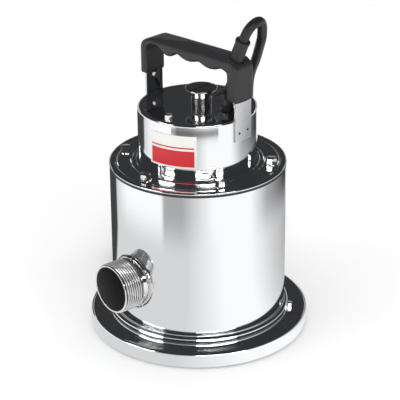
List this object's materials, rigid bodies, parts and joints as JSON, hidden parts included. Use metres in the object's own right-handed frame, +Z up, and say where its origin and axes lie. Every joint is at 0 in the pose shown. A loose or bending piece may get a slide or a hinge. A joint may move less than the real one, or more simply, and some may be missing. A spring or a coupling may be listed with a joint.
{
  "type": "submersible sump pump",
  "caption": "Upright cylindrical submersible pump with a wide foot, a threaded side outlet, a lobed carrying handle and a mains lead put away as a coil.",
  "frame": {"origin": "on the pump's axis, at the underside of its feet", "axes": "+Z up along the pump's axis; +X towards the handle's end where the cord leaves; the outlet points near -Y"},
  "size_m": [0.284, 0.297, 0.2792],
  "materials": {
    "polished_steel": "polished",
    "fastener_steel": "bright",
    "outlet_steel": "machined",
    "weld_steel": "as welded",
    "strap_steel": "satin",
    "black_grip": "satin, finely grained",
    "gland_black": "satin",
    "cord_black": "matte",
    "soft_black": "matte",
    "label_red_white": "gloss",
    "cast_grey": "painted grey",
    "impeller_black": "moulded",
    "shaft_steel": "ground",
    "core_steel": "stacked sheets",
    "copper": "varnished wire",
    "end_ring_aluminium": "cast",
    "seal_carbon": "lapped",
    "seal_ceramic": "lapped",
    "capacitor_white": "gloss",
    "plug_brass": "bright"
  },
  "bodies": {
    "pump": {"base_pan": "polished_steel", "strainer_plate": "polished_steel", "rubber_feet": "soft_black", "base_screws": "fastener_steel", "intake_plate": "impeller_black", "pump_casing": "cast_grey", "bearing_housing": "cast_grey", "housing_oring": "soft_black", "seal_seat": "seal_ceramic", "lower_bearing_outer": "shaft_steel", "upper_bearing_outer": "shaft_steel", "outer_shell": "polished_steel", "shell_top_ring": "polished_steel", "lid_gasket": "soft_black", "shoulder_lid": "polished_steel", "lid_bolts": "fastener_steel", "lid_washers": "fastener_steel", "motor_can": "polished_steel", "stator_core": "core_steel", "winding_lower": "copper", "winding_upper": "copper", "upper_bracket": "cast_grey", "capacitor": "capacitor_white", "capacitor_strap": "strap_steel", "discharge_nipple": "outlet_steel", "nipple_weld": "weld_steel", "bleed_screw": "fastener_steel", "filler_neck": "fastener_steel", "filler_plug": "polished_steel", "gland_body": "gland_black", "gland_nut": "gland_black", "gland_grommet": "soft_black", "inner_lead": "cord_black", "handle_grip": "black_grip", "handle_strap_left": "strap_steel", "handle_strap_right": "strap_steel", "handle_rivets": "fastener_steel", "strain_relief": "soft_black", "name_label": "label_red_white", "power_cord": "cord_black", "cord_coil": "cord_black", "cord_tail": "cord_black", "cord_tie": "soft_black", "plug_body": "cord_black", "plug_blades": "plug_brass", "plug_ground_pin": "plug_brass"},
    "rotor": {"motor_shaft": "shaft_steel", "rotor_core": "core_steel", "rotor_end_rings": "end_ring_aluminium", "impeller": "impeller_black", "impeller_nut": "fastener_steel", "impeller_key": "shaft_steel", "seal_ring": "seal_carbon", "lower_bearing_inner": "shaft_steel", "upper_bearing_inner": "shaft_steel"},
    "lower_cage": {"lower_bearing_balls": "shaft_steel"},
    "upper_cage": {"upper_bearing_balls": "shaft_steel"}
  },
  "joints": [
    {"name": "rotor_spin", "type": "hinge", "parent": "pump", "child": "rotor", "pos_m": [0, 0, 0.1], "axis": [0, 0, 1], "continuous": true},
    {"name": "lower_cage_spin", "type": "hinge", "parent": "pump", "child": "lower_cage", "pos_m": [0, 0, 0.062], "axis": [0, 0, 1], "continuous": true},
    {"name": "upper_cage_spin", "type": "hinge", "parent": "pump", "child": "upper_cage", "pos_m": [0, 0, 0.165], "axis": [0, 0, 1], "continuous": true}
  ],
  "couplings": [
    {"joint": "lower_cage_spin", "follows": "rotor_spin", "ratio": 0.37},
    {"joint": "upper_cage_spin", "follows": "rotor_spin", "ratio": 0.3455}
  ]
}
